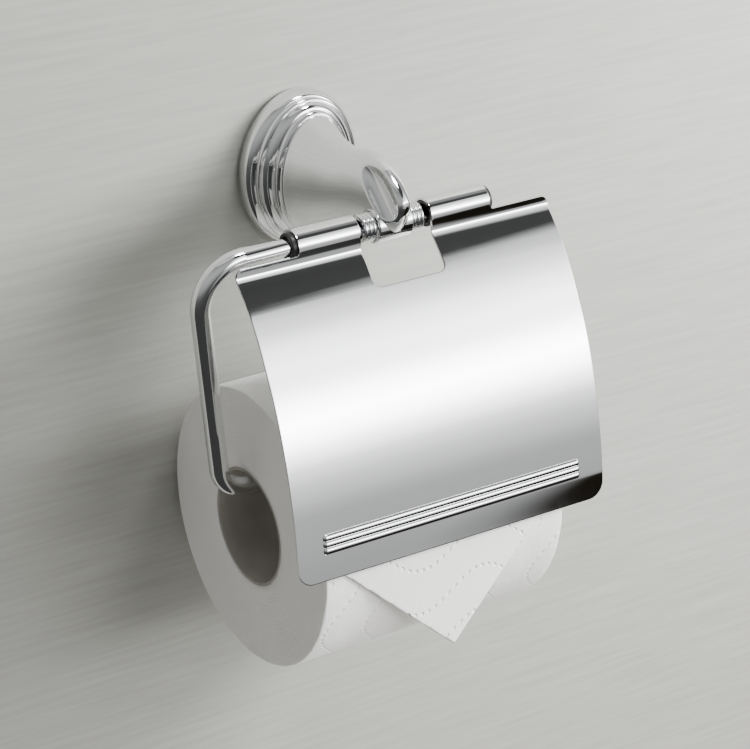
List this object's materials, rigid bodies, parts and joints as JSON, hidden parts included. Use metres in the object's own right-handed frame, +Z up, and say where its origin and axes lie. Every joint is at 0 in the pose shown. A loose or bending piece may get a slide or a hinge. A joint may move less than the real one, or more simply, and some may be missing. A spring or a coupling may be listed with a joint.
{
  "type": "toilet paper holder",
  "caption": "Wall-mounted toilet paper holder with an oval ringed flange, a curved arm, a swinging bent rod that carries the roll, and a hinged bowed cover plate.",
  "frame": {"origin": "centre of the mounting face, on the wall plane, at the flange's centre", "axes": "+X along the rod to its free end, +Y into the wall, +Z up"},
  "size_m": [0.1416, 0.1362, 0.1897],
  "materials": {
    "chrome": "polished chrome plating",
    "zinc_steel": "zinc-plated steel",
    "grey_nylon": "moulded grey nylon",
    "white_nylon": "moulded white nylon",
    "black_nylon": "moulded black nylon",
    "cardboard": "wound grey-brown board",
    "paper": "soft embossed tissue"
  },
  "bodies": {
    "post": {"post_casting": "chrome", "wall_bracket": "zinc_steel", "wall_screw_upper": "zinc_steel", "wall_screw_lower": "zinc_steel", "wall_plug_upper": "grey_nylon", "wall_plug_lower": "grey_nylon", "grub_screw": "zinc_steel", "barrel_bush_left": "white_nylon", "barrel_bush_right": "white_nylon"},
    "hanger": {"hanger_rod": "chrome", "collar_left": "chrome", "collar_right": "chrome"},
    "cover": {"cover_plate": "chrome", "hinge_liner_left": "black_nylon", "hinge_liner_right": "black_nylon"},
    "core": {"core_tube": "cardboard", "loose_leaf": "paper"},
    "paper": {"paper_roll": "paper"}
  },
  "joints": [
    {"name": "hanger_swing", "type": "hinge", "parent": "post", "child": "hanger", "pos_m": [0, -0.0604, -0.001], "axis": [-1, 0, 0], "range_deg": [0, 35]},
    {"name": "cover_lift", "type": "hinge", "parent": "hanger", "child": "cover", "pos_m": [0, -0.0604, -0.001], "axis": [-1, 0, 0], "range_deg": [0, 68]},
    {"name": "roll_off", "type": "slide", "parent": "hanger", "child": "core", "axis": [1, 0, 0], "range_m": [0, 0.11]},
    {"name": "roll_spin", "type": "hinge", "parent": "core", "child": "paper", "pos_m": [-0.002, -0.05292, -0.10889], "axis": [-1, 0, 0], "continuous": true}
  ]
}
